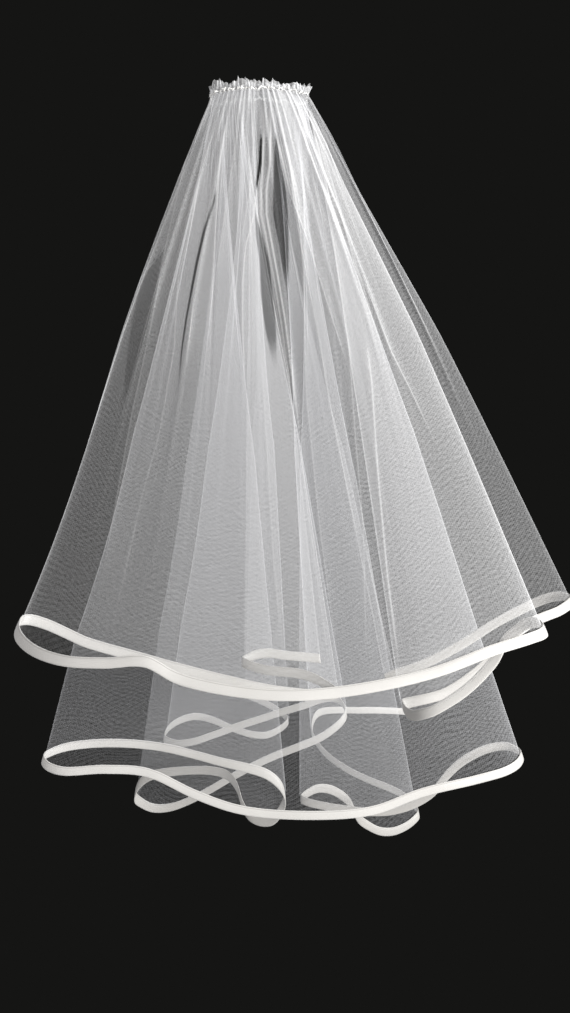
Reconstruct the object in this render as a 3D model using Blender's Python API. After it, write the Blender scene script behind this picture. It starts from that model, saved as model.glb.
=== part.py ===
"""Short two-tier bridal veil of tulle with satin ribbon hems, gathered on a hair comb.

Metres, +Z up. The origin is the middle of the comb's spine, where the veil is held up.
The tiers hang in front (-Y) and behind, and each tier runs from its left edge behind,
round the left end of the comb, across the front and round the right end.
"""
import math

import bmesh
import bpy
import numpy as np

MM = 0.001

# Cloth, ribbon and seams
CLOTH_WALL = 1.0 * MM
RIBBON_WIDTH = 8.0 * MM
SEAM_GAP = 0.3 * MM

# Gathered edge: each tier is drawn up to a flat loop round the comb
GATHERED_HALF = 44.0 * MM
BOW = 11.0 * MM
BOW_FULL_TO = 50.0 * MM
BOW_GONE_AT = 250.0 * MM
GATHERS = 12
GATHER_AT_CORD = 0.5 * MM
GATHER_BELOW = 1.4 * MM
GATHER_ABOVE = 1.5 * MM
GATHER_EASED_BEHIND = 0.7
GATHER_FADES_AT = 120.0 * MM
RIGHT_SWELL = 0.045
LEFT_TUCK = 0.05
SWELLS_OVER = 500.0 * MM
EASING = 16
EASED_TO = 0.5
HEADING = 8.0 * MM

# Comb
COMB_HALF = 40.0 * MM
SPINE_HEIGHT = 6.0 * MM
COMB_THICK = 1.9 * MM
TEETH = 18
TOOTH_LENGTH = 36.0 * MM
TOOTH_ROOT = 2.2 * MM
TOOTH_TIP = 1.2 * MM

# Cord that gathers and binds both tiers to the comb
CORD_RADIUS = 0.8 * MM
CORD_FRONT = -14.9 * MM
CORD_BACK = 8.1 * MM
CORD_END = 46.2 * MM
CORD_CORNER = 5.0 * MM

# Each row is one station along a hem, in mm: how far it lies to the right, how far back and
# how far down from the comb, and its place on the gathered loop where a fold line ends:
# -1 is the left edge behind the comb, -0.5 its left end, 0.5 its right end, 1 the right edge.
UPPER_HEM = (
    (60, -34, 516, -0.975),
    (29, -38, 513, None),
    (4, -42, 510, None),
    (-13, -50, 516, None),
    (7, -59, 521, None),
    (41, -65, 524, None),
    (68, -78, 536, None),
    (24, -91, 532, None),
    (-20, -97, 522, None),
    (-63, -102, 510, None),
    (-96, -106, 500, None),
    (-133, -110, 489, None),
    (-166, -114, 474, None),
    (-183, -120, 470, None),
    (-184, -132, 475, -0.5),
    (-165, -155, 485, None),
    (-135, -172, 491, None),
    (-102, -181, 491, None),
    (-73, -187, 489, None),
    (-52, -190, 499, None),
    (-27, -193, 505, None),
    (16, -195, 510, None),
    (53, -194, 509, None),
    (96, -191, 503, None),
    (132, -186, 495, None),
    (170, -180, 482, None),
    (199, -172, 475, None),
    (214, -159, 472, 0.4),
    (209, -145, 468, None),
    (193, -139, 479, None),
    (180, -135, 503, None),
    (156, -131, 526, None),
    (132, -127, 540, None),
    (121, -116, 544, 0.455),
    (117, -107, 539, None),
    (149, -101, 532, None),
    (179, -97, 515, None),
    (199, -94, 495, None),
    (224, -90, 476, None),
    (250, -83, 467, None),
    (264, -72, 460, 0.5),
    (254, -61, 458, None),
    (215, -53, 476, None),
    (174, -48, 503, None),
    (142, -44, 520, None),
    (108, -40, 532, 0.975),
)
LOWER_HEM = (
    (-29, 207, 604, -0.96),
    (4, 200, 613, None),
    (30, 189, 630, None),
    (2, 179, 644, None),
    (-41, 174, 633, None),
    (-73, 169, 620, None),
    (-104, 164, 627, None),
    (-113, 155, 640, None),
    (-92, 142, 643, None),
    (-25, 135, 621, None),
    (41, 130, 599, None),
    (80, 124, 589, None),
    (92, 114, 603, None),
    (72, 106, 621, None),
    (9, 103, 646, None),
    (-36, 101, 668, None),
    (-75, 98, 689, None),
    (-109, 94, 696, None),
    (-132, 84, 683, None),
    (-119, 74, 659, None),
    (-78, 70, 649, None),
    (-33, 66, 652, None),
    (-20, 59, 669, None),
    (-14, 53, 688, None),
    (11, 47, 691, None),
    (27, 38, 667, None),
    (11, 30, 642, None),
    (-41, 26, 625, None),
    (-96, 25, 611, None),
    (-148, 23, 607, None),
    (-192, 18, 611, None),
    (-205, 8, 617, -0.5),
    (-185, -4, 624, None),
    (-140, -10, 621, None),
    (-101, -13, 623, None),
    (-57, -16, 642, None),
    (-15, -18, 655, None),
    (49, -20, 659, None),
    (103, -19, 655, None),
    (148, -16, 640, None),
    (202, -11, 629, None),
    (233, -4, 622, None),
    (248, 9, 614, 0.38),
    (236, 20, 609, None),
    (207, 27, 618, None),
    (184, 32, 637, None),
    (162, 37, 664, None),
    (125, 42, 679, None),
    (74, 48, 678, None),
    (39, 58, 673, None),
    (58, 68, 666, None),
    (85, 75, 678, None),
    (101, 82, 705, None),
    (131, 88, 718, None),
    (166, 101, 705, None),
    (150, 119, 690, None),
    (108, 138, 678, None),
    (74, 157, 663, None),
    (54, 173, 642, None),
    (61, 185, 621, None),
    (108, 193, 619, None),
    (171, 208, 624, 0.95),
)

# How far down the cloth each ring of its mesh lies, from the cord to the ribbon
RINGS = (0.0, 0.02, 0.05, 0.1, 0.18, 0.32, 0.52, 0.76, 1.0)

# Both tiers: the hem, the depth of the gathered loop in front of and behind the comb, the power
# by which the cloth swells outward as it falls, the place on that loop where the front ends,
# and the columns in the left back, front and right back
TIERS = {
    "upper": {
        "hem": UPPER_HEM,
        "front": -12.0 * MM,
        "back": -7.5 * MM,
        "puff": 0.75,
        "front_to": 0.4,
        "columns": (34, 46, 48),
    },
    "lower": {
        "hem": LOWER_HEM,
        "front": -4.0 * MM,
        "back": 5.2 * MM,
        "puff": 0.6,
        "front_to": 0.38,
        "columns": (62, 44, 46),
    },
}


def smoothstep(x):
    x = np.clip(x, 0.0, 1.0)
    return x * x * (3.0 - 2.0 * x)


def smooth_curve(points, steps=24):
    """Points of a centripetal Catmull-Rom curve through a row of points, and the station of each."""
    ends = np.vstack([2 * points[0] - points[1], points, 2 * points[-1] - points[-2]])
    made = []
    station = []
    for i in range(len(points) - 1):
        p = ends[i : i + 4]
        t = np.concatenate([[0.0], np.cumsum(np.linalg.norm(np.diff(p, axis=0), axis=1) ** 0.5)])
        for k in range(steps):
            u = t[1] + (t[2] - t[1]) * k / steps
            a = [((t[j + 1] - u) * p[j] + (u - t[j]) * p[j + 1]) / (t[j + 1] - t[j]) for j in range(3)]
            b = [((t[j + 2] - u) * a[j] + (u - t[j]) * a[j + 1]) / (t[j + 2] - t[j]) for j in range(2)]
            made.append(((t[2] - u) * b[0] + (u - t[1]) * b[1]) / (t[2] - t[1]))
            station.append(i + k / steps)
    made.append(points[-1])
    station.append(len(points) - 1.0)
    return np.array(made), np.array(station)


def hem_columns(tier):
    """Hem point and gathered-loop place of each column: closer together where the hem turns."""
    rows = tier["hem"]
    curve, station = smooth_curve(np.array([row[:3] for row in rows], float) * (1.0, 1.0, -1.0) * MM)
    step = np.linalg.norm(np.diff(curve, axis=0), axis=1)
    way = np.diff(curve, axis=0) / step[:, None]
    turn = np.concatenate([[0.0], np.linalg.norm(np.diff(way, axis=0), axis=1)])
    along = np.concatenate([[0.0], np.cumsum(step)])
    density = np.concatenate([[0.0], np.cumsum(step + 0.022 * turn)])
    fixed = [i for i, row in enumerate(rows) if row[3] is not None]
    fixed_along = np.interp(fixed, station, along)
    places = [rows[i][3] for i in fixed]
    left = float(np.interp(fixed[places.index(-0.5)], station, along))
    right = float(np.interp(fixed[places.index(tier["front_to"])], station, along))
    count = tier["columns"]
    d_left = np.interp(left, along, density)
    d_right = np.interp(right, along, density)
    first = np.interp(np.linspace(0.0, d_left, count[0], endpoint=False), density, along)
    middle = np.linspace(left, right, count[1], endpoint=False)
    last = np.interp(np.linspace(d_right, density[-1], count[2]), density, along)
    at = np.concatenate([first, middle, last])
    hem = np.stack([np.interp(at, along, curve[:, k]) for k in range(3)], axis=1)
    return hem, np.interp(at, fixed_along, places)


def gathered_loop(place, front, back):
    """Point of the flat loop that a tier is drawn up to, at this place from -1 to 1."""
    radius = (back - front) / 2
    straight = GATHERED_HALF - radius
    half_turn = math.pi * radius / 2
    run = np.abs(place) * 2 * (straight + half_turn)
    over = np.clip((run - straight) / radius, 0.0, math.pi)
    x = np.where(run < straight, run, straight + radius * np.sin(over))
    x = np.where(run > straight + 2 * half_turn, 2 * straight + 2 * half_turn - run, x)
    y = (front + back) / 2 - radius * np.cos(over)
    return np.sign(place) * x, y


def gather_depth(x, y, z):
    """How far the gathers push the cloth forward or back at this spot: it fans out below the cord."""
    fan = 1.0 + 0.38 * np.maximum(-z, 0.0) / GATHERED_HALF
    wave = np.sin(2 * math.pi * GATHERS * x / (2 * GATHERED_HALF * fan))
    uneven = 1.0 + 0.15 * np.sin(170.0 * x / fan + 0.6)
    wave *= 1.0 - smoothstep((np.abs(x) / fan / GATHERED_HALF - 0.86) / 0.14)
    below = GATHER_AT_CORD + (GATHER_BELOW - GATHER_AT_CORD) * smoothstep(-z / (12 * MM))
    below = below * (1.0 - smoothstep((-z - 30 * MM) / (GATHER_FADES_AT - 30 * MM)))
    above = GATHER_AT_CORD + (GATHER_ABOVE - GATHER_AT_CORD) * np.clip(z / HEADING, 0.0, 1.2)
    behind = 1.0 - GATHER_EASED_BEHIND * smoothstep(y / (10 * MM))
    return wave * uneven * behind * np.where(z > 0, above, below)


def bow_depth(x, z):
    """The comb is bowed to fit a head, so its ends and the cloth near them lie further back."""
    fade = 1.0 - smoothstep((-z - BOW_FULL_TO) / (BOW_GONE_AT - BOW_FULL_TO))
    return BOW * np.clip(np.abs(x) / GATHERED_HALF, 0.0, 1.0) ** 2 * fade


def side_swell(x, z):
    """The right side stands out a little near the gathers and the left draws in above its hem."""
    down = np.clip(-z / SWELLS_OVER, 0.0, 1.0)
    right = RIGHT_SWELL * np.sin(math.pi * down**0.4)
    left = LEFT_TUCK * np.sin(math.pi * down**2)
    return 1.0 + np.where(x > 0, right, -left)


def eased(x, y, share):
    """Rounds the folds off where they are tightest, near the gathers."""
    times = EASING * max(0.0, 1.0 - share / EASED_TO) * min(1.0, 0.3 + share / 0.04)
    for _ in range(1 + int(round(times))):
        x = np.convolve(np.pad(x, 1, "edge"), (0.25, 0.5, 0.25), "valid")
        y = np.convolve(np.pad(y, 1, "edge"), (0.25, 0.5, 0.25), "valid")
    return x, y


def cloth_point(hem, top, s, puff):
    """Middle of the cloth at a share s of the way from the gathered edge to the hem."""
    x = top[0] + (hem[:, 0] - top[0]) * s
    y = top[1] * (1.0 - s) + hem[:, 1] * s**puff
    z = hem[:, 2] * s
    x, y = eased(x * side_swell(x, z), y, float(np.mean(s)))
    return np.stack([x, y + gather_depth(x, y, z) + bow_depth(x, z), z], axis=1)


def heading_point(top, up):
    """Middle of the frill that stands above the cord."""
    z = up * HEADING * (1.0 + 0.13 * np.sin(260.0 * top[0] + 40.0 * top[1]))
    x, y = eased(top[0], top[1], 0.0)
    return np.stack([x, y + gather_depth(x, y, z) + bow_depth(x, z), z], axis=1)


def tier_faces(tier):
    """Both faces of a tier, ring by ring from the top of the frill to the hem of the ribbon."""
    hem, place = hem_columns(tier)
    top = gathered_loop(place, tier["front"], tier["back"])
    fall = hem - np.stack([top[0], top[1], 0 * top[0]], axis=1)
    length = np.linalg.norm(fall, axis=1)
    square = squareness(fall, hem)
    for _ in range(3):
        square = np.concatenate([square[:1], (square[:-2] + square[1:-1] + square[2:]) / 3, square[-1:]])
    ribbon_top = 1.0 - RIBBON_WIDTH / np.clip(square, 0.6, 1.0) / length
    seam = squareness(fall, hem - fall * (1.0 - ribbon_top)[:, None])
    tulle_end = ribbon_top - SEAM_GAP / np.clip(seam, 0.1, 1.0) / length
    rings = [heading_point(top, 1.0), heading_point(top, 0.5)]
    rings += [cloth_point(hem, top, tulle_end * ring, tier["puff"]) for ring in RINGS]
    rings += [cloth_point(hem, top, ribbon_top, tier["puff"])]
    rings += [cloth_point(hem, top, np.ones(len(hem)), tier["puff"])]
    return walled(np.array(rings), CLOTH_WALL)


def material(name, colour, roughness, metallic=0.0):
    made = bpy.data.materials.new(name)
    made.use_nodes = True
    shader = made.node_tree.nodes["Principled BSDF"]
    shader.inputs["Base Color"].default_value = (*colour, 1.0)
    shader.inputs["Roughness"].default_value = roughness
    shader.inputs["Metallic"].default_value = metallic
    made.diffuse_color = (*colour, 1.0)
    return made


def squareness(fall, edge):
    """Sine of the angle at which the cloth's fall meets an edge across it, column by column."""
    along = np.gradient(edge, axis=0)
    crossed = np.linalg.norm(np.cross(fall, along), axis=1)
    return crossed / np.linalg.norm(fall, axis=1) / np.linalg.norm(along, axis=1)


def walled(grid, wall):
    """Front and back faces of the cloth: its middle moved half the wall each way along its normal."""
    down = np.gradient(grid, axis=0)
    across = np.gradient(grid, axis=1)
    normal = np.cross(across, down)
    normal /= np.linalg.norm(normal, axis=2, keepdims=True)
    return grid + normal * wall / 2, grid - normal * wall / 2


def cloth(name, faces, finish, collection):
    """A closed solid between the two faces of a stretch of cloth, rings by columns."""
    rings, columns = faces[0].shape[:2]
    bm = bmesh.new()
    near, far = ([bm.verts.new(point) for point in face.reshape(-1, 3)] for face in faces)
    for i in range(rings - 1):
        for j in range(columns - 1):
            a = i * columns + j
            b = a + 1
            c = b + columns
            d = a + columns
            bm.faces.new((near[a], near[b], near[c], near[d]))
            bm.faces.new((far[a], far[d], far[c], far[b]))
    last = (rings - 1) * columns
    for j in range(columns - 1):
        bm.faces.new((near[j + 1], near[j], far[j], far[j + 1]))
        bm.faces.new((near[last + j + 1], far[last + j + 1], far[last + j], near[last + j]))
    for i in range(0, last, columns):
        bm.faces.new((near[i], near[i + columns], far[i + columns], far[i]))
        a = i + columns - 1
        bm.faces.new((near[a + columns], near[a], far[a], far[a + columns]))
    mesh = bpy.data.meshes.new(name)
    bm.to_mesh(mesh)
    bm.free()
    mesh.materials.append(finish)
    made = bpy.data.objects.new(name, mesh)
    collection.objects.link(made)
    return made


def comb(collection, finish):
    """Bowed spine with a row of tapering teeth, drawn flat and then given its thickness."""
    pitch = 2 * COMB_HALF / TEETH
    bm = bmesh.new()
    top = SPINE_HEIGHT / 2
    across = [-COMB_HALF]
    for k in range(TEETH):
        middle = -COMB_HALF + (k + 0.5) * pitch
        across += [middle - TOOTH_ROOT / 2, middle + TOOTH_ROOT / 2]
    across.append(COMB_HALF)
    upper = [bm.verts.new((x, 0.0, top)) for x in across]
    lower = [bm.verts.new((x, 0.0, -top)) for x in across]
    for i in range(len(across) - 1):
        bm.faces.new((lower[i], lower[i + 1], upper[i + 1], upper[i]))
    for k in range(TEETH):
        middle = -COMB_HALF + (k + 0.5) * pitch
        left = bm.verts.new((middle - TOOTH_TIP / 2, 0.0, -top - TOOTH_LENGTH))
        right = bm.verts.new((middle + TOOTH_TIP / 2, 0.0, -top - TOOTH_LENGTH))
        bm.faces.new((left, right, lower[2 * k + 2], lower[2 * k + 1]))
    sheet = bm.faces[:]
    thick = bmesh.ops.extrude_face_region(bm, geom=sheet)
    moved = [item for item in thick["geom"] if isinstance(item, bmesh.types.BMVert)]
    bmesh.ops.translate(bm, vec=(0.0, COMB_THICK, 0.0), verts=moved)
    bmesh.ops.translate(bm, vec=(0.0, -COMB_THICK / 2, 0.0), verts=bm.verts[:])
    for vert in bm.verts:
        vert.co.y += BOW * (vert.co.x / GATHERED_HALF) ** 2
    bmesh.ops.recalc_face_normals(bm, faces=bm.faces[:])
    mesh = bpy.data.meshes.new("comb")
    bm.to_mesh(mesh)
    bm.free()
    mesh.materials.append(finish)
    made = bpy.data.objects.new("comb", mesh)
    collection.objects.link(made)
    return made


def gathering_cord(collection, finish):
    """Closed cord that runs round both tiers at the gathers."""
    straight = CORD_END - CORD_CORNER
    corners = (
        (straight, CORD_FRONT + CORD_CORNER, -90),
        (straight, CORD_BACK - CORD_CORNER, 0),
        (-straight, CORD_BACK - CORD_CORNER, 90),
        (-straight, CORD_FRONT + CORD_CORNER, 180),
    )
    points = []
    for x, y, start in corners:
        for k in range(4):
            a = math.radians(start + 30 * k)
            points.append((x + CORD_CORNER * math.cos(a), y + CORD_CORNER * math.sin(a)))
        if start == 0:
            points += [(straight * (1 - k / 6), CORD_BACK) for k in range(1, 12)]
    points += [(straight * (k / 6 - 1), CORD_FRONT) for k in range(1, 12)]
    curve = bpy.data.curves.new("gathering_cord", "CURVE")
    curve.dimensions = "3D"
    spline = curve.splines.new("POLY")
    spline.points.add(len(points) - 1)
    for point, (x, y) in zip(spline.points, points):
        point.co = (x, y + BOW * min(abs(x) / GATHERED_HALF, 1.0) ** 2, 0.0, 1.0)
    spline.use_cyclic_u = True
    curve.bevel_depth = CORD_RADIUS
    curve.bevel_resolution = 1
    curve.materials.append(finish)
    made = bpy.data.objects.new("gathering_cord", curve)
    collection.objects.link(made)
    return made


def clear():
    for old in list(bpy.data.objects):
        bpy.data.objects.remove(old, do_unlink=True)


def main():
    clear()
    collection = bpy.data.collections.new("bridal_veil")
    bpy.context.scene.collection.children.link(collection)
    tulle_finish = {
        "upper": material("upper_tulle", (0.86, 0.87, 0.9), 0.9),
        "lower": material("lower_tulle", (0.8, 0.81, 0.86), 0.9),
    }
    ribbon_finish = {
        "upper": material("upper_satin", (0.93, 0.92, 0.89), 0.35),
        "lower": material("lower_satin", (0.9, 0.89, 0.87), 0.35),
    }
    for name, tier in TIERS.items():
        near, far = tier_faces(tier)
        cloth(name + "_tier", (near[:-2], far[:-2]), tulle_finish[name], collection)
        cloth(name + "_ribbon", (near[-2:], far[-2:]), ribbon_finish[name], collection)
    comb(collection, material("comb_plastic", (0.82, 0.83, 0.84), 0.3))
    gathering_cord(collection, material("cord_thread", (0.9, 0.9, 0.88), 0.7))


main()
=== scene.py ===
"""Looks of the bridal veil: two tiers of soft tulle with satin ribbon hems on a hair comb.

Metres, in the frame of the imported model: the origin is the middle of the comb's spine, +Z is up
and the front of the veil faces -Y.
"""
import math

import bpy
import numpy as np
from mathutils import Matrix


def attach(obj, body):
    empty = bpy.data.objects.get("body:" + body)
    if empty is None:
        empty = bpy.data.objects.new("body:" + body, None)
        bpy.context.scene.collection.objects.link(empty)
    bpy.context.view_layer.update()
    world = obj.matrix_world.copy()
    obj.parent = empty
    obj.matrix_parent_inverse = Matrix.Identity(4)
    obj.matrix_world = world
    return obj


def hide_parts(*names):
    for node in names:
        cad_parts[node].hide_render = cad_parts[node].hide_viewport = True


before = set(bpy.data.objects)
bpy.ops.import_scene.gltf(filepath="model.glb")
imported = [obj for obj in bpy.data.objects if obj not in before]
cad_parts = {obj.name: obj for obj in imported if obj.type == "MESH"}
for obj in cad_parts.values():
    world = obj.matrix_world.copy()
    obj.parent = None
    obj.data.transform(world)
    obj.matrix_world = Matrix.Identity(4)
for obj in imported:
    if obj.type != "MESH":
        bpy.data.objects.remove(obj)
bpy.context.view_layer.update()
bpy.ops.object.select_all(action="DESELECT")

# Studio. The veil hangs free against black, lit by a large soft light from the front right, one
# from behind and a weaker one from the left. The floor is a plain pale disc below it.
CAMERA_SPOT = (0.024, -0.736, -0.3785)
SENSOR_MM = 36.0
FOCAL_PX = 800
PHOTO_HEIGHT_PX = 1013
LIT_BELOW_COMB = 0.35
FLOOR_RADIUS = 0.68
FLOOR_LEVEL = -1.3
bpy.ops.object.camera_add(location=CAMERA_SPOT, rotation=(math.radians(90), 0, 0))
camera = bpy.context.object
camera.data.lens = SENSOR_MM * FOCAL_PX / PHOTO_HEIGHT_PX
camera.data.clip_start = 0.01
bpy.context.scene.camera = camera

world = bpy.data.worlds.new("dark_room")
bpy.context.scene.world = world
world.use_nodes = True
room = world.node_tree
shown = room.nodes.new("ShaderNodeBackground")
shown.inputs["Color"].default_value = (0.0075, 0.0075, 0.007, 1)
glow = room.nodes["Background"]
glow.inputs["Color"].default_value = (0.93, 0.95, 1.0, 1)
glow.inputs["Strength"].default_value = 0.31
seen = room.nodes.new("ShaderNodeLightPath")
chosen = room.nodes.new("ShaderNodeMixShader")
room.links.new(seen.outputs["Is Camera Ray"], chosen.inputs[0])
room.links.new(glow.outputs[0], chosen.inputs[1])
room.links.new(shown.outputs[0], chosen.inputs[2])
room.links.new(chosen.outputs[0], room.nodes["World Output"].inputs["Surface"])

for name, place, size, power, colour in (
    ("key_light", (1.1, -0.85, -0.35), 0.8, 41, (1.0, 0.995, 0.98)),
    ("left_light", (-1.6, -1.5, 0.1), 1.0, 11, (1.0, 0.94, 0.87)),
    ("back_light", (-0.4, 2.0, 0.4), 1.4, 38, (0.94, 0.96, 1.0)),
):
    bpy.ops.object.light_add(type="AREA", location=place)
    light = bpy.context.object
    light.name = name
    light.data.size = size
    light.data.energy = power
    light.data.color = colour
    light.visible_camera = False
    away = light.location.copy()
    away.z += LIT_BELOW_COMB
    light.rotation_euler = away.to_track_quat("Z", "Y").to_euler()

bpy.ops.mesh.primitive_circle_add(
    vertices=96, radius=FLOOR_RADIUS, fill_type="NGON", location=(0, 0, FLOOR_LEVEL)
)
floor = bpy.context.object
floor.name = "floor"

scene = bpy.context.scene
scene.view_settings.view_transform = "Standard"
scene.cycles.transparent_max_bounces = 64
scene.cycles.max_bounces = 4
scene.cycles.diffuse_bounces = 1


class Wire:
    """An output of a node, so that plain sums on it add the nodes that work them out."""

    def __init__(self, tree, socket=None):
        self.tree = tree
        self.socket = socket

    def add(self, kind, settings=None, values=None, out=0):
        """A new node: its settings first, then the values or wires of its inputs."""
        node = self.tree.nodes.new(kind)
        for name, value in (settings or {}).items():
            setattr(node, name, value)
        for name, value in (values or {}).items():
            if isinstance(value, Wire):
                self.tree.links.new(value.socket, node.inputs[name])
            else:
                node.inputs[name].default_value = value
        return Wire(self.tree, node.outputs[out])

    def math(self, operation, first, second=0.0):
        return self.add("ShaderNodeMath", {"operation": operation}, {0: first, 1: second})

    def __add__(self, other):
        return self.math("ADD", self, other)

    def __sub__(self, other):
        return self.math("SUBTRACT", self, other)

    def __rsub__(self, other):
        return self.math("SUBTRACT", other, self)

    def __mul__(self, other):
        return self.math("MULTIPLY", self, other)

    def __truediv__(self, other):
        return self.math("DIVIDE", self, other)

    def __rtruediv__(self, other):
        return self.math("DIVIDE", other, self)

    def __pow__(self, other):
        return self.math("POWER", self, other)

    __radd__ = __add__
    __rmul__ = __mul__

    def wave(self):
        return self.math("COSINE", self)

    def other(self, out):
        """Another output of the same node."""
        return Wire(self.tree, self.socket.node.outputs[out])

    def least(self, other):
        return self.math("MAXIMUM", self, other)

    def most(self, other):
        return self.math("MINIMUM", self, other)

    def smooth(self, low, high):
        """0 below low and 1 above high, with a soft change between."""
        return self.add(
            "ShaderNodeMapRange",
            {"interpolation_type": "SMOOTHSTEP"},
            {"Value": self, "From Min": low, "From Max": high},
        )

    def tint(self, first, second):
        """First colour where this is 0, second where it is 1."""
        return self.add(
            "ShaderNodeMix",
            {"data_type": "RGBA"},
            {0: self, 6: (*first, 1.0), 7: (*second, 1.0)},
            out=2,
        )


def finish(name, plain):
    """A new material with these plain values on its shader, and a wire to start patterns from."""
    made = bpy.data.materials.new(name)
    made.use_nodes = True
    tree = made.node_tree
    shader = tree.nodes["Principled BSDF"]
    for socket, value in plain.items():
        shader.inputs[socket].default_value = value
    return made, shader, Wire(tree)


def drives(wire, shader, socket):
    wire.tree.links.new(wire.socket, shader.inputs[socket])


plaster, shader, start = finish("floor_plaster", {"Roughness": 0.85})
spot = start.add("ShaderNodeTexCoord", out=3)
mottle = start.add("ShaderNodeTexNoise", {}, {"Vector": spot, "Scale": 6.0, "Detail": 3.0})
drives(mottle.tint((0.5, 0.5, 0.495), (0.56, 0.56, 0.55)), shader, "Base Color")
floor.data.materials.append(plaster)

# Comb. A plain comb of clear moulded plastic, bowed to fit the head. It is sewn inside the lower
# tier's gathers with its teeth down, and its edges are slightly rounded.
bpy.ops.object.select_all(action="DESELECT")
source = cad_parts["comb"]
comb_mesh = source.data.copy()
comb = bpy.data.objects.new("moulded_comb", comb_mesh)
bpy.context.scene.collection.objects.link(comb)
comb.select_set(True)
bpy.context.view_layer.objects.active = comb
bpy.ops.object.mode_set(mode="EDIT")
bpy.ops.mesh.select_all(action="SELECT")
bpy.ops.mesh.remove_doubles(threshold=1e-5)
bpy.ops.mesh.dissolve_limited(angle_limit=math.radians(1))
bpy.ops.object.mode_set(mode="OBJECT")
rounded = comb.modifiers.new("rounded", "BEVEL")
rounded.width = 0.0004
rounded.segments = 2
rounded.limit_method = "ANGLE"
rounded.angle_limit = math.radians(50)
bpy.ops.object.modifier_apply(modifier="rounded")
bpy.ops.object.shade_smooth_by_angle(angle=math.radians(40))
plastic, shader, start = finish(
    "clear_comb_plastic", {"Roughness": 0.22, "IOR": 1.49, "Specular IOR Level": 0.35}
)
spot = start.add("ShaderNodeTexCoord", out=3)
cloud = start.add("ShaderNodeTexNoise", {}, {"Vector": spot, "Scale": 90.0, "Detail": 2.0})
drives(cloud.tint((0.78, 0.8, 0.82), (0.88, 0.89, 0.9)), shader, "Base Color")
drives(0.05 + 0.1 * cloud, shader, "Alpha")
drives(0.18 + 0.15 * cloud, shader, "Roughness")
comb.data.materials.clear()
comb.data.materials.append(plastic)
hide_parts("comb")
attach(comb, "root")

# Lower tier. One sheet of soft tulle, cut as a wide fan and drawn up on a thread to a flat loop
# round the comb. It hangs in deep flutes, and its heading stands above the thread as a frill.
#
# Each row is one station along the hem, in mm: how far it lies to the right, how far back and how
# far down from the comb, and its place on the gathered loop where a fold line ends.
LOWER_HEM = (
    (-29, 207, 604, -0.96),
    (4, 200, 613, None),
    (30, 189, 630, None),
    (2, 179, 644, None),
    (-41, 174, 633, None),
    (-73, 169, 620, None),
    (-104, 164, 627, None),
    (-113, 155, 640, None),
    (-92, 142, 643, None),
    (-25, 135, 621, None),
    (41, 130, 599, None),
    (80, 124, 589, None),
    (92, 114, 603, None),
    (72, 106, 621, None),
    (9, 103, 646, None),
    (-36, 101, 668, None),
    (-75, 98, 689, None),
    (-109, 94, 696, None),
    (-132, 84, 683, None),
    (-119, 74, 659, None),
    (-78, 70, 649, None),
    (-33, 66, 652, None),
    (-20, 59, 669, None),
    (-14, 53, 688, None),
    (11, 47, 691, None),
    (27, 38, 667, None),
    (11, 30, 642, None),
    (-41, 26, 625, None),
    (-96, 25, 611, None),
    (-148, 23, 607, None),
    (-192, 18, 611, None),
    (-205, 8, 617, -0.5),
    (-185, -4, 624, None),
    (-140, -10, 621, None),
    (-101, -13, 623, None),
    (-57, -16, 642, None),
    (-15, -18, 655, None),
    (49, -20, 659, None),
    (103, -19, 655, None),
    (148, -16, 640, None),
    (202, -11, 629, None),
    (233, -4, 622, None),
    (248, 9, 614, 0.38),
    (236, 20, 609, None),
    (207, 27, 618, None),
    (184, 32, 637, None),
    (162, 37, 664, None),
    (125, 42, 679, None),
    (74, 48, 678, None),
    (39, 58, 673, None),
    (58, 68, 666, None),
    (85, 75, 678, None),
    (101, 82, 705, None),
    (131, 88, 718, None),
    (166, 101, 705, None),
    (150, 119, 690, None),
    (108, 138, 678, None),
    (74, 157, 663, None),
    (54, 173, 642, None),
    (61, 185, 621, None),
    (108, 193, 619, None),
    (171, 208, 624, 0.95),
)
# The frill, the gathers on the comb, the cloth's fall and its edges, the ribbon, and how often the
# net and the bands seen in it repeat, all in metres. Then the columns and rings of a tier's mesh.
HEADING = 0.008
TIP_HEIGHT = 0.0072
TIP_LEAN = 0.0034
BETWEEN_TIPS = 0.0035
GATHERS_HALF = 0.044
BOW = 0.011
MEAN_FALL = 0.6
RAW_EDGE = 0.0022
THREAD_LINE = 0.0013
RIBBON_WIDTH = 0.008
NET_PITCH = 0.0019
BAND_PITCH = 0.0036
CLOTH_COLUMNS = 1300
CLOTH_RINGS = 76
FRILL_RINGS = 9
# Gaps where the gathers part in front of every layer. Each row says how clear the gap is, then its
# line and half width, in mm from the middle of the front view at the comb's distance.
PARTINGS = (
    (0.96, ((-22, 352, -0.6), (-22, 337, 1.2), (-23, 314, 1.8), (-26, 296, 1.3), (-29, 284, 0.3))),
    (0.78, (
        (-9, 350, -0.6), (-7, 314, 3.4), (-5, 291, 6.0), (-4, 268, 6.9), (-1, 241, 4.6),
        (1, 212, 2.3), (3, 190, 0.5),
    )),
    (0.72, (
        (-29, 278, -0.6), (-24, 250, 2.8), (-19, 226, 4.6), (-17, 196, 5.5), (-13, 162, 5.1),
        (-9, 126, 0.9),
    )),
    (0.88, (
        (-63, 300, -0.6), (-65, 282, 1.0), (-74, 255, 1.4), (-81, 225, 1.3), (-86, 199, 1.1),
        (-91, 172, 0.8), (-95, 144, 0.7), (-99, 98, 0.3),
    )),
    (0.38, (
        (-109, 244, -0.6), (-118, 225, 3.7), (-124, 208, 6.8), (-129, 190, 8.0),
        (-135, 162, 7.0), (-143, 124, 4.0), (-150, 84, -0.6),
    )),
)
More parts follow.
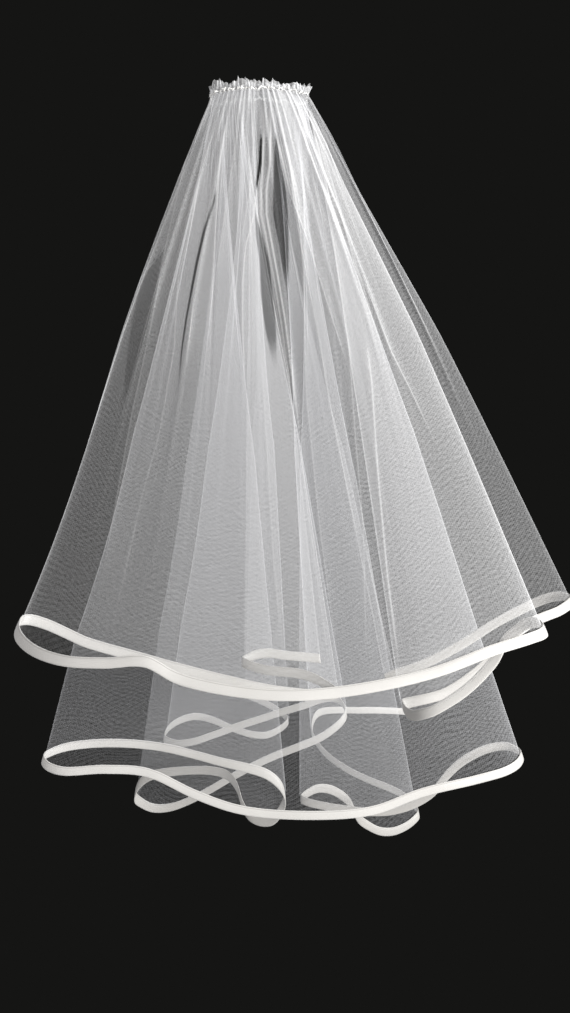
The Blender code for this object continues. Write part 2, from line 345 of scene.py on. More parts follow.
# How a tier is cut and drawn up: its hem, how far back the front and back of its gathered loop
# lie, how soon its folds open out, where its front ends, the mesh columns before, on and after the
# front, its gathers, the tips of its frill, its long folds, and how dense it lies by place.
lower_cut = {
    "hem": LOWER_HEM,
    "front": -0.004,
    "back": 0.0052,
    "puff": 0.6,
    "front_to": 0.38,
    "columns": (62, 44, 46),
    "pleats": 84,
    "seed": 3,
    "tips": 30,
    "fold_lines": (),
    "fuller": ((-0.5, 1.0), (0.1, 1.0), (0.28, 1.45), (0.38, 1.45), (0.5, 1.1), (1.0, 1.0)),
}


def smooth(x):
    """0 below 0 and 1 above 1, with a soft change between."""
    x = np.clip(x, 0.0, 1.0)
    return x * x * (3.0 - 2.0 * x)


def smooth_curve(points, steps=24):
    """Points of a centripetal Catmull-Rom curve through these points, and the station of each."""
    ends = np.vstack([2 * points[0] - points[1], points, 2 * points[-1] - points[-2]])
    made = []
    station = []
    for i in range(len(points) - 1):
        p = ends[i : i + 4]
        t = np.concatenate([[0.0], np.cumsum(np.linalg.norm(np.diff(p, axis=0), axis=1) ** 0.5)])
        for k in range(steps):
            u = t[1] + (t[2] - t[1]) * k / steps
            a = [
                ((t[j + 1] - u) * p[j] + (u - t[j]) * p[j + 1]) / (t[j + 1] - t[j])
                for j in range(3)
            ]
            b = [
                ((t[j + 2] - u) * a[j] + (u - t[j]) * a[j + 1]) / (t[j + 2] - t[j])
                for j in range(2)
            ]
            made.append(((t[2] - u) * b[0] + (u - t[1]) * b[1]) / (t[2] - t[1]))
            station.append(i + k / steps)
    made.append(points[-1])
    station.append(len(points) - 1.0)
    return np.array(made), np.array(station)


def hem_columns(cut):
    """Hem point, gathered-loop place and distance along the hem of each column of the cloth."""
    rows = cut["hem"]
    placed = np.array([row[:3] for row in rows], float) * (1.0, 1.0, -1.0) / 1000
    curve, station = smooth_curve(placed)
    step = np.linalg.norm(np.diff(curve, axis=0), axis=1)
    way = np.diff(curve, axis=0) / step[:, None]
    turn = np.concatenate([[0.0], np.linalg.norm(np.diff(way, axis=0), axis=1)])
    along = np.concatenate([[0.0], np.cumsum(step)])
    closer_at_turns = 0.022
    density = np.concatenate([[0.0], np.cumsum(step + closer_at_turns * turn)])
    fixed = [i for i, row in enumerate(rows) if row[3] is not None]
    fixed_along = np.interp(fixed, station, along)
    places = [rows[i][3] for i in fixed]
    left = float(np.interp(fixed[places.index(-0.5)], station, along))
    right = float(np.interp(fixed[places.index(cut["front_to"])], station, along))
    count = cut["columns"]
    d_left = np.interp(left, along, density)
    d_right = np.interp(right, along, density)
    at = np.concatenate(
        [
            np.interp(np.linspace(0.0, d_left, count[0], endpoint=False), density, along),
            np.linspace(left, right, count[1], endpoint=False),
            np.interp(np.linspace(d_right, density[-1], count[2]), density, along),
        ]
    )
    hem = np.stack([np.interp(at, along, curve[:, k]) for k in range(3)], axis=1)
    return hem, np.interp(at, fixed_along, places), at


def gathered_loop(place, front, back):
    """Point of the flat loop that a tier is drawn up to, at this place from -1 to 1."""
    radius = (back - front) / 2
    straight = GATHERS_HALF - radius
    half_turn = math.pi * radius / 2
    run = np.abs(place) * 2 * (straight + half_turn)
    over = np.clip((run - straight) / radius, 0.0, math.pi)
    x = np.where(run < straight, run, straight + radius * np.sin(over))
    x = np.where(run > straight + 2 * half_turn, 2 * straight + 2 * half_turn - run, x)
    return np.sign(place) * x, (front + back) / 2 - radius * np.cos(over)


def bow_depth(x, z):
    """The comb is bowed, so its ends and the cloth near them lie further back."""
    out = np.clip(np.abs(x) / GATHERS_HALF, 0.0, 1.0)
    return BOW * out**2 * (1.0 - smooth((-z - 0.05) / 0.2))


def side_swell(x, z):
    """The right side stands out a little near the gathers and the left draws in above its hem."""
    down = np.clip(-z / 0.5, 0.0, 1.0)
    right = 0.045 * np.sin(math.pi * down**0.4)
    left = -0.05 * np.sin(math.pi * down**2)
    return 1.0 + np.where(x > 0, right, left)


def eased(x, y, share):
    """Rounds the folds off where they are tightest, near the gathers."""
    times = 1 + 16 * max(0.0, 1.0 - share / 0.5) * min(1.0, 0.3 + share / 0.04)
    while times > 0:
        part = min(times, 1.0)
        for line in (x, y):
            rounder = np.convolve(np.pad(line, 1, "edge"), (0.25, 0.5, 0.25), "valid")
            line += part * (rounder - line)
        times -= 1
    return x, y


def calm_ring(hem, top, share, puff):
    """Middle of the cloth, before its gathers, at this share of the way down to the hem."""
    x = top[0] + (hem[:, 0] - top[0]) * share
    y = top[1] * (1.0 - share) + hem[:, 1] * share**puff
    z = hem[:, 2] * share
    x, y = eased(x * side_swell(x, z), y, float(np.mean(share)))
    return np.stack([x, y, z], axis=1)


def spread(rings, at):
    """More columns: a smooth curve across each ring, read at these fractional column numbers."""
    last = rings.shape[1] - 1
    i = np.clip(at.astype(int), 0, last - 1)
    t = (at - i)[None, :, None]
    a = rings[:, np.maximum(i - 1, 0)]
    b = rings[:, i]
    c = rings[:, i + 1]
    d = rings[:, np.minimum(i + 2, last)]
    bend = (2 * a - 5 * b + 4 * c - d) * t**2
    twist = (3 * b - a - 3 * c + d) * t**3
    return 0.5 * (2 * b + (c - a) * t + bend + twist)


def squareness(fall, edge):
    """Sine of the angle at which the cloth's fall meets an edge across it, column by column."""
    along = np.gradient(edge, axis=0)
    crossed = np.linalg.norm(np.cross(fall, along), axis=1)
    return crossed / np.linalg.norm(fall, axis=1) / np.linalg.norm(along, axis=1)


def ribbon_share(hem, top):
    """Share of the way down at which the ribbon's upper edge lies, column by column."""
    fall = hem - np.stack([top[0], top[1], 0 * top[0]], axis=1)
    square = squareness(fall, hem)
    for _ in range(3):
        inner = (square[:-2] + square[1:-1] + square[2:]) / 3
        square = np.concatenate([square[:1], inner, square[-1:]])
    return 1.0 - RIBBON_WIDTH / np.clip(square, 0.6, 1.0) / np.linalg.norm(fall, axis=1)


def creases(cut, width):
    """Where each ridge of the gathers lies, how high it is, how far it runs and how it drifts."""
    chance = np.random.default_rng(cut["seed"])
    count = cut["pleats"]
    middle = (np.arange(count) + 0.5 + chance.uniform(-0.28, 0.28, count)) / count * width
    height = chance.uniform(0.25, 1.0, count)
    ends = chance.uniform(0.08, 0.3, count)
    longer = chance.uniform(0, 1, count) < 0.22
    ends[longer] = chance.uniform(0.5, 1.2, longer.sum())
    drift = chance.uniform(-0.3, 0.3, count) * width / count
    return middle, height, ends, drift


def petals(cut, cloth):
    """How high the frill's tips stand along the cloth, and how far they lean out."""
    chance = np.random.default_rng(cut["seed"] + 40)
    count = cut["tips"]
    tip = np.zeros_like(cloth)
    lean = np.zeros_like(cloth)
    for middle in (np.arange(count) + chance.uniform(0.0, 1.0, count)) / count * cloth[-1]:
        wide = cloth[-1] / count * chance.uniform(0.45, 1.1)
        bump = np.clip(1.0 - np.abs(cloth - middle) / wide, 0.0, 1.0) ** 0.8
        tip = np.maximum(tip, bump * chance.uniform(0.25, 1.0))
        lean += bump * chance.uniform(-1.0, 1.0)
    return tip, lean


def beside(line, points):
    """How far right of a line these points lie in the front view, its strength and half width.

    The strength fades to 0 at the line's ends, and the half width is the line's last column.
    """
    line = np.array(line, float)[::-1] / 1000
    near = 1.0 - points[..., 1] / CAMERA_SPOT[1]
    x = (points[..., 0] - CAMERA_SPOT[0]) / near
    z = (points[..., 2] - CAMERA_SPOT[2]) / near
    along = (line[-1, 1] - z) / (line[-1, 1] - line[0, 1])
    sure = smooth(along / 0.06) * smooth((1.0 - along) / 0.2)
    wide = np.interp(z, line[:, 1], line[:, -1])
    return x - np.interp(z, line[:, 1], line[:, 0]), sure, wide


def gathered_ridges(cut, cloth, down):
    """Height of the gathers' ridges, which run out one by one on the way down."""
    pitch = cloth[-1] / cut["pleats"]
    ridge = np.zeros((len(down), len(cloth)))
    for middle, height, ends, drift in zip(*creases(cut, cloth[-1])):
        offset = cloth[None, :] - middle - drift * down
        wide = pitch * (0.30 - 0.12 * smooth(down / 0.5))
        bump = np.exp(-((offset / wide) ** 2))
        fade = 1.0 - smooth((down - 0.25 * ends) / (0.75 * ends))
        ridge += bump * fade * height
    return ridge


def fold_lines(cut, calm, dense, shown):
    """Raises each long fold, thickens the net beside it, and stores where its edge is drawn.

    Returns how far each point lies from the fold in each store, in half widths, and how bright
    that fold is there.
    """
    panel_edge, panel_fade, fold_height, fold_width = 0.0016, 0.012, 0.0007, 0.0035
    edges = np.full(calm.shape, 9.0)
    bright = np.zeros(calm.shape)
    for store, strength, wide, side, line in cut["fold_lines"]:
        right, sure, _ = beside(line, calm)
        sure = sure * shown
        toward = right * (1.0 if side > 0 else -1.0)
        panel = smooth(toward / panel_edge + 0.5) * np.exp(-np.maximum(toward, 0.0) / panel_fade)
        dense += abs(side) * sure * panel
        calm[..., 1] -= fold_height * sure * np.exp(-((right / fold_width) ** 2))
        away = right * 1000 / wide
        nearer = np.abs(away) < np.abs(edges[..., store])
        shows = 1.6 * strength * sure * smooth(1.4 - np.abs(right) / 0.0025)
        edges[..., store] = np.where(nearer, away, edges[..., store])
        bright[..., store] = np.where(nearer, shows, bright[..., store])
    return edges, bright


def part_gathers(calm, dense, bright):
    """Thins the net and its folds in the gaps where the gathers part."""
    gap_edge = 0.0009
    for clear, line in PARTINGS:
        right, sure, wide = beside(line, calm)
        inside = clear * smooth((wide - np.abs(right)) / gap_edge + 0.5) * sure
        dense *= 1.0 - inside
        bright *= 1.0 - inside[..., None]


def tulle_rings(cut, columns, rings):
    """The tier's cloth as rings of points, with its own coordinates, density and fold lines."""
    hem, place, along = hem_columns(cut)
    top = gathered_loop(place, cut["front"], cut["back"])
    edge = ribbon_share(hem, top) + 0.002 / np.linalg.norm(hem, axis=1)
    shares = np.linspace(0.0, 1.0, rings - FRILL_RINGS) ** 1.5
    made = []
    for up in np.linspace(1.0, 0.0, FRILL_RINGS + 1)[:-1]:
        x, y = eased(top[0].copy(), top[1].copy(), 0.0)
        made.append(np.stack([x, y, np.full(len(x), up * HEADING)], axis=1))
    made += [calm_ring(hem, top, edge * share, cut["puff"]) for share in shares]
    at = np.linspace(0.0, len(hem) - 1.0, columns)
    calm = spread(np.array(made), at)
    cloth = np.interp(at, np.arange(len(hem)), along)
    frill = np.linspace(-HEADING, 0.0, FRILL_RINGS + 1)[:-1] / MEAN_FALL
    share = np.concatenate([frill, shares])[:, None]
    way = np.gradient(calm, axis=1)
    normal = np.stack([way[..., 1], -way[..., 0]], axis=2)
    normal /= np.maximum(np.linalg.norm(normal, axis=2, keepdims=True), 1e-9)
    down = np.clip(share, 0.0, 1.0)
    ridge = gathered_ridges(cut, cloth, down)
    reach = 0.001 + 0.0011 * smooth((down - 0.02) / 0.2)
    push = (ridge - 0.35) * 2.0 * reach
    above = np.clip(-share * MEAN_FALL / HEADING, 0.0, 1.0)
    tip, lean = petals(cut, cloth)
    crumple = np.sin(cloth * 310.0 + 2.0 * np.sin(cloth * 47.0))
    push += above**0.8 * (TIP_LEAN * lean + 0.0007 * crumple)
    calm[..., :2] += normal[..., :2] * push[..., None]
    calm[..., 0] += above * 0.0011 * np.sin(cloth * 121.0 + 1.4 * np.sin(cloth * 33.0))
    calm[..., 1] += bow_depth(calm[..., 0], calm[..., 2])
    calm[..., 2] += above * (TIP_HEIGHT * tip - BETWEEN_TIPS + 0.0004 * crumple)
    fullness = 1.0 + 1.5 * (1.0 - down) ** 2.0
    rim = np.minimum(cloth, cloth[-1] - cloth)[None, :]
    loose = np.interp(at, np.arange(len(hem)), place)[None, :]
    fuller = np.interp(loose, *zip(*cut["fuller"]))
    dense = fullness * fuller * (0.84 + 0.4 * ridge) + 3.0 * np.exp(-((rim / RAW_EDGE) ** 2))
    front = smooth((loose + 0.52) / 0.04) * smooth((cut["front_to"] + 0.02 - loose) / 0.04)
    pucker = 0.6 + 0.4 * np.sin(cloth * 260.0 + 3.0 * np.sin(cloth * 37.0))
    drawn_up = np.exp(-(((calm[..., 2] + 0.0004) / THREAD_LINE) ** 2))
    dense += 3.5 * above + 5.0 * pucker * drawn_up
    edges, bright = fold_lines(cut, calm, dense, front * fullness**0.5)
    part_gathers(calm, dense, bright)
    fall = down[:, 0] * np.linalg.norm(hem, axis=1).mean()
    return calm, cloth, fall, dense, edges, bright


def cloth_mesh(name, points, cloth, fall, dense, edges, bright):
    """A sheet from rings of points, with the cloth's own coordinates, density and folds stored."""
    rings, columns = points.shape[:2]
    corner = np.arange(rings * columns).reshape(rings, columns)
    faces = np.stack(
        [corner[:-1, :-1], corner[1:, :-1], corner[1:, 1:], corner[:-1, 1:]], axis=2
    ).reshape(-1, 4)
    mesh = bpy.data.meshes.new(name)
    mesh.from_pydata(points.reshape(-1, 3).tolist(), [], faces.tolist())
    spots = np.stack(np.broadcast_arrays(cloth[None, :], fall[:, None]), axis=2).reshape(-1, 2)
    layer = mesh.uv_layers.new(name="cut")
    layer.data.foreach_set("uv", spots[faces.ravel()].ravel())
    lies = mesh.attributes.new("dense", "FLOAT", "POINT")
    lies.data.foreach_set("value", dense.ravel())
    for label, values in (("fold_edges", edges), ("fold_bright", bright)):
        layer = mesh.attributes.new(label, "FLOAT_VECTOR", "POINT")
        layer.data.foreach_set("vector", values.ravel())
    mesh.shade_smooth()
    piece = bpy.data.objects.new(name, mesh)
    bpy.context.scene.collection.objects.link(piece)
    return piece


def vector(first, operation, second, third=(0.0, 0.0, 0.0), out=0):
    """A sum on vectors."""
    return first.add(
        "ShaderNodeVectorMath", {"operation": operation}, {0: first, 1: second, 2: third}, out=out
    )


def tulle(name, pale, deep):
    """Fine six-sided net. Each layer covers little, more where it is gathered or seen on edge."""
    made, shader, start = finish(
        name, {"Roughness": 0.75, "Specular IOR Level": 0.2, "Sheen Weight": 0.2}
    )
    cut = start.add("ShaderNodeUVMap", {"uv_map": "cut"})
    across = cut.add("ShaderNodeSeparateXYZ", {}, {0: cut})
    down = across.other(1)
    cell = 2 * math.pi / NET_PITCH
    slant = 0.866 * down
    net = (across * cell).wave() + ((0.5 * across + slant) * cell).wave()
    net = net + ((0.5 * across - slant) * cell).wave()
    threads = (-0.3 - net).least(0.0)
    drawn = start.add("ShaderNodeTexNoise", {}, {"Vector": cut, "Scale": 16.0, "Detail": 1.0})
    grain = start.add("ShaderNodeTexNoise", {}, {"Vector": cut, "Scale": 380.0, "Detail": 0.0})
    bands = ((0.3 * across + 0.95 * down) * (2 * math.pi / BAND_PITCH) + 60.0 * drawn).wave()
    dense = start.add("ShaderNodeAttribute", {"attribute_name": "dense"}, out=2)
    edges = start.add("ShaderNodeAttribute", {"attribute_name": "fold_edges"}, out=1)
    bright = start.add("ShaderNodeAttribute", {"attribute_name": "fold_bright"}, out=1)
    falls = vector(edges, "MULTIPLY_ADD", edges, (1.0, 1.0, 1.0))
    falls = vector(falls, "MULTIPLY", falls)
    folds = vector(vector(bright, "DIVIDE", falls), "DOT_PRODUCT", (1.0, 1.0, 1.0), out=1)
    facing = start.add("ShaderNodeLayerWeight", {}, {"Blend": 0.5}, out=1)
    edge_on = (1.0 - facing).least(0.03) ** 1.25
    bands = bands * edge_on * (1.3 / dense).most(1.0)
    uneven = 0.15 + 0.75 * threads + 1.1 * grain + 0.27 * bands
    thread_cover = 0.06
    depth = thread_cover * (dense * uneven.least(0.12) + 0.8 * folds) / edge_on
    passes_one_depth = 0.36788
    drives(1.0 - start.math("POWER", passes_one_depth, depth), shader, "Alpha")
    drives(grain.tint(pale, deep), shader, "Base Color")
    return made


lower_net = tulle("lower_tulle_net", (0.9, 0.9, 0.915), (0.84, 0.845, 0.87))
lower_tulle = cloth_mesh("lower_tulle", *tulle_rings(lower_cut, CLOTH_COLUMNS, CLOTH_RINGS))
lower_tulle.data.materials.append(lower_net)
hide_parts("lower_tier")
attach(lower_tulle, "root")

# Upper tier. A shorter fan of the same soft tulle, drawn up to its own flat loop in front of the
# lower one, and made like it. Long folds show on its front.
UPPER_HEM = (
    (60, -34, 516, -0.975),
    (29, -38, 513, None),
    (4, -42, 510, None),
    (-13, -50, 516, None),
    (7, -59, 521, None),
    (41, -65, 524, None),
    (68, -78, 536, None),
    (24, -91, 532, None),
    (-20, -97, 522, None),
    (-63, -102, 510, None),
    (-96, -106, 500, None),
    (-133, -110, 489, None),
    (-166, -114, 474, None),
    (-183, -120, 470, None),
    (-184, -132, 475, -0.5),
    (-165, -155, 485, None),
    (-135, -172, 491, None),
    (-102, -181, 491, None),
    (-73, -187, 489, None),
    (-52, -190, 499, None),
    (-27, -193, 505, None),
    (16, -195, 510, None),
    (53, -194, 509, None),
    (96, -191, 503, None),
    (132, -186, 495, None),
    (170, -180, 482, None),
    (199, -172, 475, None),
    (214, -159, 472, 0.4),
    (209, -145, 468, None),
    (193, -139, 479, None),
    (180, -135, 503, None),
    (156, -131, 526, None),
    (132, -127, 540, None),
    (121, -116, 544, 0.455),
    (117, -107, 539, None),
    (149, -101, 532, None),
    (179, -97, 515, None),
    (199, -94, 495, None),
    (224, -90, 476, None),
    (250, -83, 467, None),
    (264, -72, 460, 0.5),
    (254, -61, 458, None),
    (215, -53, 476, None),
    (174, -48, 503, None),
    (142, -44, 520, None),
    (108, -40, 532, 0.975),
)
# Long folds on the front of this tier. Each row says which of three stores holds it, so that
# close folds never share one, how dense the fold's edge is, its half width in mm, how much denser
# the net is on its right (or, below 0, its left) and its line, placed as in PARTINGS.
FOLD_LINES = (
    (0, 2.6, 0.8, 0.35, (
        (19, 377), (30, 332), (41, 280), (52, 250), (65, 219), (78, 194), (97, 144), (117, 104),
        (143, 49),
    )),
    (1, 1.5, 0.7, -0.25, (
        (34, 312), (47, 229), (53, 181), (59, 144), (65, 61), (72, -19), (75, -157),
    )),
    (2, 1.6, 0.7, 0.45, ((-7, 339), (5, 286), (19, 250), (47, 162), (62, 116))),
    (0, 1.3, 0.7, -0.30, (
        (4, 323), (9, 272), (17, 229), (30, 162), (46, 70), (63, -11), (69, -58),
    )),
    (1, 1.4, 0.7, 0.30, ((1, 339), (14, 254), (17, 216), (20, 100), (32, -19), (51, -161))),
    (0, 1.3, 0.7, 0.20, ((-22, 144), (-10, -54), (-2, -137))),
    (1, 1.0, 0.7, -0.20, ((5, 144), (20, 2), (43, -161))),
    (0, 1.1, 0.7, 0.20, ((73, -28), (86, -95), (98, -152))),
    (0, 1.4, 0.7, -0.40, (
        (-53, 376), (-64, 347), (-77, 312), (-87, 255), (-98, 212), (-102, 144), (-115, 69),
        (-131, 11), (-162, -126),
    )),
    (1, 0.9, 0.7, 0.00, ((-117, 28), (-124, 15), (-132, 7))),
    (0, 1.2, 0.7, 0.40, (
        (-88, 334), (-108, 247), (-124, 162), (-141, 84), (-165, -49), (-173, -90),
    )),
    (1, 1.5, 0.7, -0.20, ((-106, 247), (-117, 228), (-131, 214), (-139, 190))),
    (1, 2.2, 0.7, 0.30, (
        (-21, 312), (-26, 290), (-30, 261), (-36, 240), (-39, 207), (-39, 162), (-36, 98),
    )),
    (2, 1.8, 0.7, 0.40, ((-54, 356), (-63, 291), (-73, 255), (-83, 204), (-87, 162), (-93, 116))),
    (0, 3.2, 1.1, 0.00, ((75, 153), (80, 112), (85, 36), (94, -62), (106, -157))),
    (0, 2.4, 1.5, 0.00, (
        (-21, 376), (-19, 346), (-21, 314), (-22, 291), (-22, 268), (-16, 241), (-10, 208),
        (-4, 172), (4, 116), (10, 61),
    )),
    (2, 2.4, 1.3, 0.00, (
        (-15, 378), (-13, 346), (-14, 314), (-17, 291), (-17, 268), (-12, 241), (-6, 208),
        (0, 172), (7, 116), (14, 61),
    )),
    (2, 1.2, 0.6, 0.00, ((-30, 377), (-29, 337), (-32, 291), (-43, 227))),
    (1, 1.2, 0.6, 0.30, ((-41, 377), (-45, 337), (-56, 264), (-65, 199))),
    (0, 1.3, 0.6, 0.00, ((10, 377), (21, 328), (30, 282), (39, 245))),
)
upper_cut = {
    "hem": UPPER_HEM,
    "front": -0.012,
    "back": -0.0075,
    "puff": 0.75,
    "front_to": 0.4,
    "columns": (34, 46, 48),
    "pleats": 70,
    "seed": 8,
    "tips": 26,
    "fold_lines": FOLD_LINES,
    "fuller": (
        (-0.5, 1.1), (-0.2, 1.15), (0.1, 1.05), (0.25, 1.6), (0.4, 1.6), (0.5, 1.15), (1.0, 1.0),
    ),
}
upper_net = tulle("upper_tulle_net", (0.92, 0.92, 0.925), (0.87, 0.87, 0.88))
upper_tulle = cloth_mesh("upper_tulle", *tulle_rings(upper_cut, CLOTH_COLUMNS, CLOTH_RINGS))
upper_tulle.data.materials.append(upper_net)
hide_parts("upper_tier")
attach(upper_tulle, "root")

# Hem ribbons. Double-faced satin ribbon 8 mm wide, laid over the raw edge of each tier and sewn
# on close to its upper edge. Each is a closed band that follows the hem's waves.
RIBBON_HALF_THICK = 0.00045


def ribbon_mesh(name, cut, columns):
    """The ribbon as a closed band: its two faces, a little proud of the net, and its edges."""
    hem, place, along = hem_columns(cut)
    top = gathered_loop(place, cut["front"], cut["back"])
    upper = ribbon_share(hem, top)
    across = np.array([0.0, 0.06, 0.13, 0.2, 0.35, 0.55, 0.75, 0.92, 1.0])
    calm = np.array([calm_ring(hem, top, upper + (1.0 - upper) * v, cut["puff"]) for v in across])
    calm[..., 1] += bow_depth(calm[..., 0], calm[..., 2])
    at = np.linspace(0.0, len(hem) - 1.0, columns)
    middle = spread(calm, at)
    cloth = np.interp(at, np.arange(len(hem)), along)
    down = np.gradient(middle, axis=0)
    right = np.gradient(middle, axis=1)
    normal = np.cross(right, down)
    normal /= np.linalg.norm(normal, axis=2, keepdims=True)
    swell = np.array([0.55, 1.0, 0.55, 1.0, 1.15, 1.2, 1.15, 1.0, 0.45])
    thick = RIBBON_HALF_THICK * swell[:, None, None]
    front = middle + normal * thick
    back = middle - normal * thick
    loop = np.concatenate([front, back[::-1]])
    rings = len(loop)
    corner = np.arange(rings * columns).reshape(rings, columns)
    after = np.roll(corner, -1, axis=0)
    faces = np.stack(
        [corner[:, :-1], after[:, :-1], after[:, 1:], corner[:, 1:]], axis=2
    ).reshape(-1, 4)
    mesh = bpy.data.meshes.new(name)
    ends = [corner[::-1, 0].tolist(), corner[:, -1].tolist()]
    mesh.from_pydata(loop.reshape(-1, 3).tolist(), [], faces.tolist() + ends)
    width = np.concatenate([across, across[::-1]]) * RIBBON_WIDTH
    spots = np.stack(np.broadcast_arrays(cloth[None, :], width[:, None]), axis=2).reshape(-1, 2)
    layer = mesh.uv_layers.new(name="cut")
    order = np.concatenate([faces.ravel(), np.array(ends).ravel()])
    layer.data.foreach_set("uv", spots[order].ravel())
    mesh.shade_smooth()
    piece = bpy.data.objects.new(name, mesh)
    bpy.context.scene.collection.objects.link(piece)
    return piece


def satin(name, pale, deep, depths):
    """Satin weave: long floats that shine, a faint rib across and a pressed line of stitches.

    Painted shade darkens it to the right and, between these depths, towards the back of the tier;
    painted sheen and shade also lie over the weave.
    """
    made, shader, start = finish(
        name, {"Roughness": 0.35, "Specular IOR Level": 0.6, "Sheen Weight": 0.15}
    )
    cut = start.add("ShaderNodeUVMap", {"uv_map": "cut"})
    across = start.add("ShaderNodeSeparateXYZ", {}, {0: cut}, out=1)
    stretched = start.add("ShaderNodeMapping", {}, {"Vector": cut, "Scale": (900.0, 5000.0, 1.0)})
    floats = start.add(
        "ShaderNodeTexNoise", {}, {"Vector": stretched, "Scale": 1.0, "Detail": 2.0}
    )
    # The large cloud is painted sheen and shade: soft lighter and darker patches, as where a satin
    # ribbon turns to and from the light.
    cloud = start.add("ShaderNodeTexNoise", {}, {"Vector": cut, "Scale": 11.0, "Detail": 3.0})
    # The stitch line's groove is pressed in by the bump and also darkened in the colour: painted
    # shade.
    stitch_line = 0.001
    stitch = (across - stitch_line) * 2600.0
    groove = 1.0 - (stitch * stitch).most(1.0)
    # Painted shade: the colour is darker to the right, and darker towards the back of the tier
    # between the given depths.
    spot = start.add("ShaderNodeTexCoord", out=3)
    right = start.add("ShaderNodeSeparateXYZ", {}, {0: spot})
    painted_back_shade = right.other(1).smooth(*depths)
    weave_with_painted_sheen_and_shade = cloud * 0.55 + floats * 0.35 + groove * 0.3 - 0.22
    tone_with_painted_shade = weave_with_painted_sheen_and_shade + right.smooth(-0.24, 0.02) * 0.45 + painted_back_shade * 0.5
    drives(tone_with_painted_shade.tint(pale, deep), shader, "Base Color")
    drives(0.3 + 0.2 * floats + 0.15 * groove, shader, "Roughness")
    ribs = start.add(
        "ShaderNodeBump",
        {},
        {"Strength": 0.35, "Distance": 0.0004, "Height": floats * 0.6 - groove},
    )
    drives(ribs, shader, "Normal")
    return made


# For each ribbon: its name, cut and columns, its satin colour, the darker colour that the weave,
# the painted sheen and the painted shade pull it towards, and the depths between which the painted
# shade towards the back sets in.
for name, cut, columns, pale, deep, depths in (
    ("upper", upper_cut, 900, (0.8, 0.785, 0.76), (0.38, 0.368, 0.35), (-0.15, -0.05)),
    ("lower", lower_cut, 1400, (0.82, 0.805, 0.78), (0.38, 0.368, 0.35), (-0.04, 0.09)),
):
    ribbon = ribbon_mesh(name + "_satin_ribbon", cut, columns)
    ribbon.data.materials.append(satin(name + "_satin_weave", pale, deep, depths))
    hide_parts(name + "_ribbon")
    name + "_satin"
    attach(ribbon, "root")

# Gathering thread. A twisted white thread that draws up both tiers and binds them to the comb, in
# and out of the net, with plump short stitches over it. Two strands and each stitch are tubes.
LOOP_HALF = 0.0462
LOOP_FRONT = -0.0149
LOOP_BACK = 0.0081
LOOP_CORNER = 0.005
ROUTE_STEPS = 720
TWISTS = 60
STRAND_RADIUS = 0.00034
STRAND_OFFSET = 0.0003
STITCH_RADIUS = 0.0008
STITCH_PITCH = 0.0042
bpy.ops.object.select_all(action="DESELECT")
thread_path = []
straight = LOOP_HALF - LOOP_CORNER
for x, y, start_angle in (
    (straight, LOOP_FRONT + LOOP_CORNER, -90),
    (straight, LOOP_BACK - LOOP_CORNER, 0),
    (-straight, LOOP_BACK - LOOP_CORNER, 90),
    (-straight, LOOP_FRONT + LOOP_CORNER, 180),
):
    for k in range(4):
        a = math.radians(start_angle + 30 * k)
        thread_path.append((x + LOOP_CORNER * math.cos(a), y + LOOP_CORNER * math.sin(a)))
    if start_angle == 0:
        thread_path += [(straight * (1 - k / 6), LOOP_BACK) for k in range(1, 12)]
thread_path += [(straight * (k / 6 - 1), LOOP_FRONT) for k in range(1, 12)]
closed = np.array(thread_path + thread_path[:1])
gone = np.concatenate([[0], np.cumsum(np.linalg.norm(np.diff(closed, axis=0), axis=1))])
steps = np.linspace(0, gone[-1], ROUTE_STEPS + 1)[:-1]
level = [np.interp(steps, gone, closed[:, k]) for k in range(2)]
route = np.stack([*level, 0 * steps], axis=1)
route[:, 0] *= 0.974
route[:, 1] += BOW * np.minimum(np.abs(route[:, 0]) / GATHERS_HALF, 1.0) ** 2
route[:, 2] += 0.0005 * np.sin(steps * 310.0) + 0.0005 * np.sin(steps * 97.0)
onward = np.roll(route, -1, axis=0) - np.roll(route, 1, axis=0)
onward /= np.linalg.norm(onward, axis=1)[:, None]
outward = np.stack([onward[:, 1], -onward[:, 0], 0 * steps], axis=1)
route -= outward * (0.0012 + 0.0014 * np.sin(steps * 750.0 + 2.0 * np.sin(steps * 90.0)))[:, None]
upward = np.array([0.0, 0.0, 1.0])


def tube(points, radius, sides, closed_end):
    """Points and faces of a round tube along these points."""
    count = len(points)
    way = np.gradient(points, axis=0)
    if closed_end:
        way = np.roll(points, -1, axis=0) - np.roll(points, 1, axis=0)
    way /= np.linalg.norm(way, axis=1)[:, None]
    aside = np.cross(way, upward)
    aside /= np.maximum(np.linalg.norm(aside, axis=1)[:, None], 1e-9)
    over = np.cross(aside, way)
    turn = np.arange(sides) * 2 * math.pi / sides
    ring = np.cos(turn)[None, :, None] * aside[:, None]
    ring = ring + np.sin(turn)[None, :, None] * over[:, None]
    radius = np.broadcast_to(np.asarray(radius, float), (count,))
    made = points[:, None] + ring * radius[:, None, None]
    corner = np.arange(count * sides).reshape(count, sides)
    ahead = np.roll(corner, -1, axis=0) if closed_end else corner[1:]
    here = corner if closed_end else corner[:-1]
    faces = np.stack(
        [ahead, np.roll(ahead, -1, axis=1), np.roll(here, -1, axis=1), here], axis=2
    ).reshape(-1, 4).tolist()
    if not closed_end:
        faces += [corner[0].tolist(), corner[-1][::-1].tolist()]
    return made.reshape(-1, 3), faces


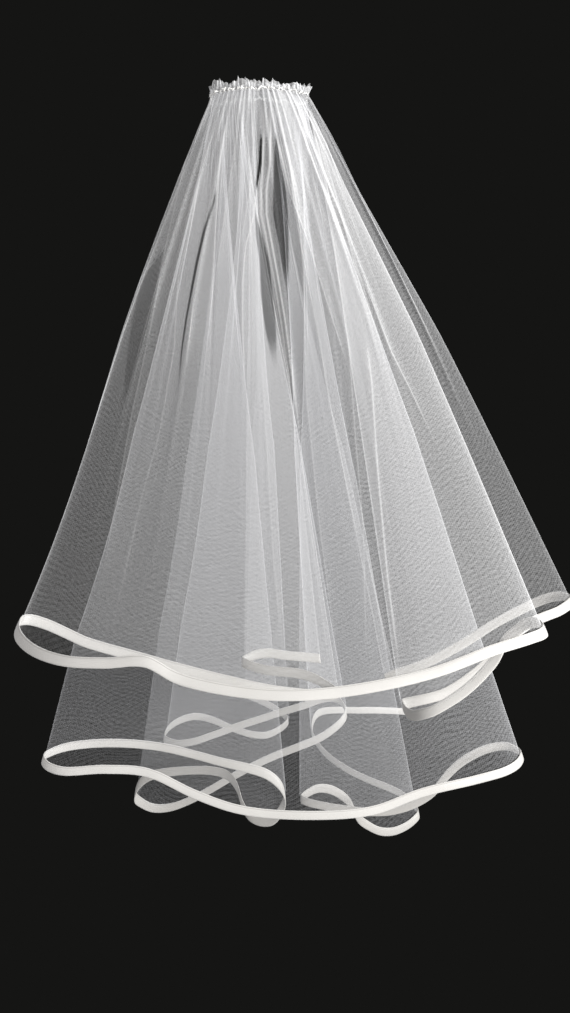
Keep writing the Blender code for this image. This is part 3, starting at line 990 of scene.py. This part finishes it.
def joined(name, tubes):
    """One mesh object of several tubes."""
    every = []
    faces = []
    for points, made in tubes:
        faces += [[corner + len(every) for corner in face] for face in made]
        every += points.tolist()
    mesh = bpy.data.meshes.new(name)
    mesh.from_pydata(every, [], faces)
    mesh.shade_smooth()
    piece = bpy.data.objects.new(name, mesh)
    bpy.context.scene.collection.objects.link(piece)
    bpy.context.view_layer.objects.active = piece
    piece.select_set(True)
    bpy.ops.object.mode_set(mode="EDIT")
    bpy.ops.mesh.select_all(action="SELECT")
    bpy.ops.mesh.normals_make_consistent(inside=False)
    bpy.ops.object.mode_set(mode="OBJECT")
    piece.select_set(False)
    return piece


strands = []
for k in range(2):
    twist = steps / steps[-1] * 2 * math.pi * TWISTS + math.pi * k
    around = np.cos(twist)[:, None] * outward + np.sin(twist)[:, None] * upward
    strands.append(tube(route + STRAND_OFFSET * around, STRAND_RADIUS, 7, True))
chance = np.random.default_rng(5)
for at in np.arange(0.002, gone[-1], STITCH_PITCH):
    at += chance.uniform(-0.0009, 0.0009)
    i = int(at / gone[-1] * ROUTE_STEPS) % ROUTE_STEPS
    lean = chance.uniform(-0.0014, 0.0024)
    tall = chance.uniform(0.0007, 0.0022)
    plump = chance.uniform(0.6, 1.0) * np.array([0.3, 0.7, 0.9, 1.0, 1.0, 1.0, 0.9, 0.7, 0.3])
    turn = np.linspace(-1.0, 1.0, 9)
    line = route[i] + onward[i] * (lean * turn)[:, None]
    line = line + upward * (tall * np.sin(turn * 1.5))[:, None]
    line = line + outward[i] * (0.0010 * np.cos(turn * 1.5) - 0.0003)[:, None]
    strands.append(tube(line, STITCH_RADIUS * plump, 6, False))
thread_piece = joined("gathering_thread", strands)
thread, shader, start = finish("white_thread", {"Roughness": 0.55, "Sheen Weight": 0.4})
spot = start.add("ShaderNodeTexCoord", out=3)
fuzz = start.add("ShaderNodeTexNoise", {}, {"Vector": spot, "Scale": 1800.0, "Detail": 3.0})
drives(fuzz.tint((0.93, 0.92, 0.89), (0.74, 0.73, 0.71)), shader, "Base Color")
drives(0.45 + 0.3 * fuzz, shader, "Roughness")
hairs = start.add("ShaderNodeBump", {}, {"Strength": 0.5, "Distance": 0.0001, "Height": fuzz})
drives(hairs, shader, "Normal")
thread_piece.data.materials.append(thread)
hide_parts("gathering_cord")
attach(thread_piece, "root")
